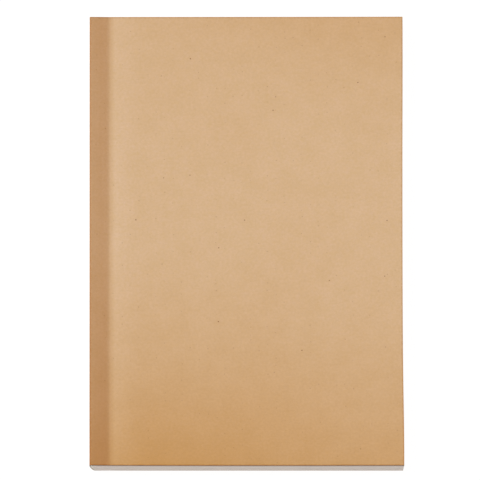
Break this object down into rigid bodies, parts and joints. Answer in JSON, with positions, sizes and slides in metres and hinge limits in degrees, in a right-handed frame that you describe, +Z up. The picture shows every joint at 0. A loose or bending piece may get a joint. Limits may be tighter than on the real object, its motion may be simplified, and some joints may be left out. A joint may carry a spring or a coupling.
{
  "type": "pocket notebook",
  "caption": "Slim softcover pocket notebook with square corners, a scored kraft cover and a glued block of plain leaves that turn with the front cover.",
  "frame": {"origin": "under the middle of the closed notebook, on the surface that its back cover lies on", "axes": "+X from the spine to the fore-edge, +Y from the tail to the head, +Z up through the front cover"},
  "size_m": [0.1016, 0.1524, 0.0062],
  "materials": {
    "kraft_cover": "matte",
    "page_paper": "matte",
    "binding_glue": "satin"
  },
  "bodies": {
    "binding": {"spine_panel": "kraft_cover", "front_hinge_strip": "kraft_cover", "back_hinge_strip": "kraft_cover", "spine_glue": "binding_glue", "front_side_glue": "binding_glue", "back_side_glue": "binding_glue", "bound_leaf_edges": "page_paper", "leaf_45": "page_paper", "leaf_46": "page_paper", "leaf_47": "page_paper", "leaf_48": "page_paper"},
    "front_cover": {"front_cover_panel": "kraft_cover"},
    "back_cover": {"back_cover_panel": "kraft_cover"},
    "leaves_01_04": {"leaf_01": "page_paper", "leaf_02": "page_paper", "leaf_03": "page_paper", "leaf_04": "page_paper"},
    "leaves_05_08": {"leaf_05": "page_paper", "leaf_06": "page_paper", "leaf_07": "page_paper", "leaf_08": "page_paper"},
    "leaves_09_12": {"leaf_09": "page_paper", "leaf_10": "page_paper", "leaf_11": "page_paper", "leaf_12": "page_paper"},
    "leaves_13_16": {"leaf_13": "page_paper", "leaf_14": "page_paper", "leaf_15": "page_paper", "leaf_16": "page_paper"},
    "leaves_17_20": {"leaf_17": "page_paper", "leaf_18": "page_paper", "leaf_19": "page_paper", "leaf_20": "page_paper"},
    "leaves_21_24": {"leaf_21": "page_paper", "leaf_22": "page_paper", "leaf_23": "page_paper", "leaf_24": "page_paper"},
    "leaves_25_28": {"leaf_25": "page_paper", "leaf_26": "page_paper", "leaf_27": "page_paper", "leaf_28": "page_paper"},
    "leaves_29_32": {"leaf_29": "page_paper", "leaf_30": "page_paper", "leaf_31": "page_paper", "leaf_32": "page_paper"},
    "leaves_33_36": {"leaf_33": "page_paper", "leaf_34": "page_paper", "leaf_35": "page_paper", "leaf_36": "page_paper"},
    "leaves_37_40": {"leaf_37": "page_paper", "leaf_38": "page_paper", "leaf_39": "page_paper", "leaf_40": "page_paper"},
    "leaves_41_44": {"leaf_41": "page_paper", "leaf_42": "page_paper", "leaf_43": "page_paper", "leaf_44": "page_paper"}
  },
  "joints": [
    {"name": "front_cover_hinge", "type": "hinge", "parent": "binding", "child": "front_cover", "pos_m": [-0.0444, 0, 0.00619], "axis": [0, -1, 0], "range_deg": [0, 179.9]},
    {"name": "back_cover_hinge", "type": "hinge", "parent": "binding", "child": "back_cover", "pos_m": [-0.0444, 0, -0.00002], "axis": [0, 1, 0], "range_deg": [0, 179.9]},
    {"name": "leaves_01_04_turn", "type": "hinge", "parent": "binding", "child": "leaves_01_04", "pos_m": [-0.0444, 0, 0.00619], "axis": [0, -1, 0], "range_deg": [0, 176.9]},
    {"name": "leaves_05_08_turn", "type": "hinge", "parent": "binding", "child": "leaves_05_08", "pos_m": [-0.0444, 0, 0.00619], "axis": [0, -1, 0], "range_deg": [0, 172.4]},
    {"name": "leaves_09_12_turn", "type": "hinge", "parent": "binding", "child": "leaves_09_12", "pos_m": [-0.0444, 0, 0.00619], "axis": [0, -1, 0], "range_deg": [0, 167.9]},
    {"name": "leaves_13_16_turn", "type": "hinge", "parent": "binding", "child": "leaves_13_16", "pos_m": [-0.0444, 0, 0.00619], "axis": [0, -1, 0], "range_deg": [0, 163.4]},
    {"name": "leaves_17_20_turn", "type": "hinge", "parent": "binding", "child": "leaves_17_20", "pos_m": [-0.0444, 0, 0.00619], "axis": [0, -1, 0], "range_deg": [0, 158.9]},
    {"name": "leaves_21_24_turn", "type": "hinge", "parent": "binding", "child": "leaves_21_24", "pos_m": [-0.0444, 0, 0.00619], "axis": [0, -1, 0], "range_deg": [0, 154.4]},
    {"name": "leaves_25_28_turn", "type": "hinge", "parent": "binding", "child": "leaves_25_28", "pos_m": [-0.0444, 0, 0.00619], "axis": [0, -1, 0], "range_deg": [0, 24]},
    {"name": "leaves_29_32_turn", "type": "hinge", "parent": "binding", "child": "leaves_29_32", "pos_m": [-0.0444, 0, 0.00619], "axis": [0, -1, 0], "range_deg": [0, 17.7]},
    {"name": "leaves_33_36_turn", "type": "hinge", "parent": "binding", "child": "leaves_33_36", "pos_m": [-0.0444, 0, 0.00619], "axis": [0, -1, 0], "range_deg": [0, 12.3]},
    {"name": "leaves_37_40_turn", "type": "hinge", "parent": "binding", "child": "leaves_37_40", "pos_m": [-0.0444, 0, 0.00619], "axis": [0, -1, 0], "range_deg": [0, 7.8]},
    {"name": "leaves_41_44_turn", "type": "hinge", "parent": "binding", "child": "leaves_41_44", "pos_m": [-0.0444, 0, 0.00619], "axis": [0, -1, 0], "range_deg": [0, 3.8]}
  ],
  "couplings": [
    {"joint": "leaves_01_04_turn", "follows": "front_cover_hinge", "ratio": 0.98},
    {"joint": "leaves_05_08_turn", "follows": "front_cover_hinge", "ratio": 0.955},
    {"joint": "leaves_09_12_turn", "follows": "front_cover_hinge", "ratio": 0.93},
    {"joint": "leaves_13_16_turn", "follows": "front_cover_hinge", "ratio": 0.905},
    {"joint": "leaves_17_20_turn", "follows": "front_cover_hinge", "ratio": 0.88},
    {"joint": "leaves_21_24_turn", "follows": "front_cover_hinge", "ratio": 0.855},
    {"joint": "leaves_25_28_turn", "follows": "front_cover_hinge", "ratio": 0.13},
    {"joint": "leaves_29_32_turn", "follows": "front_cover_hinge", "ratio": 0.095},
    {"joint": "leaves_33_36_turn", "follows": "front_cover_hinge", "ratio": 0.065},
    {"joint": "leaves_37_40_turn", "follows": "front_cover_hinge", "ratio": 0.04},
    {"joint": "leaves_41_44_turn", "follows": "front_cover_hinge", "ratio": 0.018}
  ]
}
